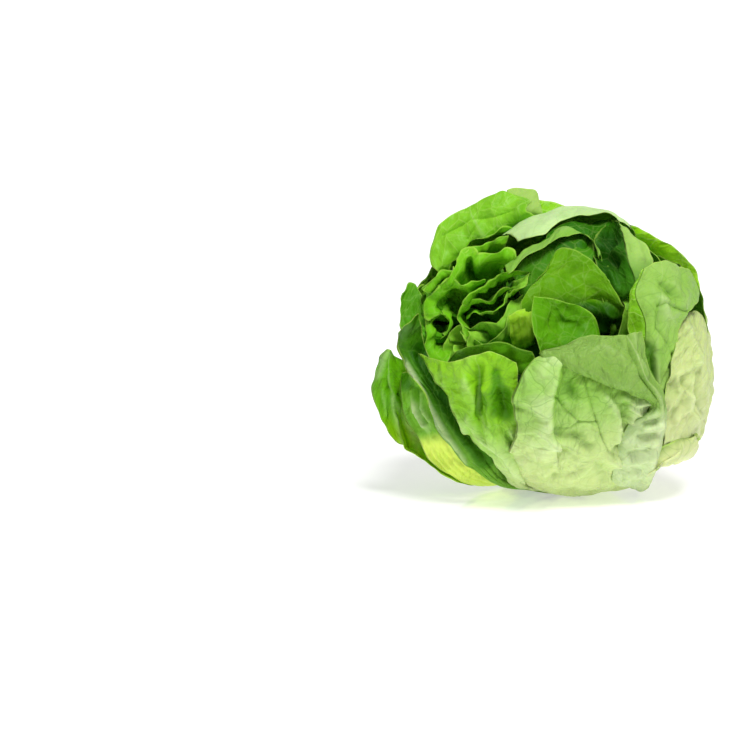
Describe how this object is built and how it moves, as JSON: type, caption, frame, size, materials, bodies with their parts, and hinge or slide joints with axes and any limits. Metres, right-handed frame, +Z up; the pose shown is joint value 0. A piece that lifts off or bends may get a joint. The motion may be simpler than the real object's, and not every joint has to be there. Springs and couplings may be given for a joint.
{
  "type": "butterhead lettuce",
  "caption": "Loose round head of soft lettuce, lying on its side with its open heart to the front left and a short cut stem behind.",
  "frame": {"origin": "on the floor under the middle of the head's box", "axes": "+X to the right and +Z up as the front is seen, +Y away from the front; the heart opens to the front left and the stem points to the back right and down"},
  "size_m": [0.1702, 0.1638, 0.1469],
  "materials": {
    "stem": "matt, cream, with a pinkish brown cut end",
    "outer_leaf": "soft, slightly waxy, pale green with cream ribs",
    "inner_leaf": "soft, slightly waxy, mid green to yellow green"
  },
  "bodies": {
    "root": {"stem": "stem", "leaf_under": "outer_leaf", "leaf_back_left": "outer_leaf", "leaf_back_right": "outer_leaf", "leaf_back_top": "outer_leaf", "leaf_left": "outer_leaf", "leaf_right_lower": "outer_leaf", "leaf_front_flap": "outer_leaf", "leaf_right_pale": "outer_leaf", "leaf_front_wide": "outer_leaf", "leaf_right_round": "outer_leaf", "leaf_right_back": "inner_leaf", "leaf_top_band": "outer_leaf", "leaf_top_back": "outer_leaf", "leaf_top_strip": "inner_leaf", "leaf_upper_left": "inner_leaf", "leaf_far_left": "outer_leaf", "leaf_front_left": "outer_leaf", "leaf_left_diagonal": "outer_leaf", "leaf_left_under": "inner_leaf", "heart": "inner_leaf"}
  },
  "joints": []
}
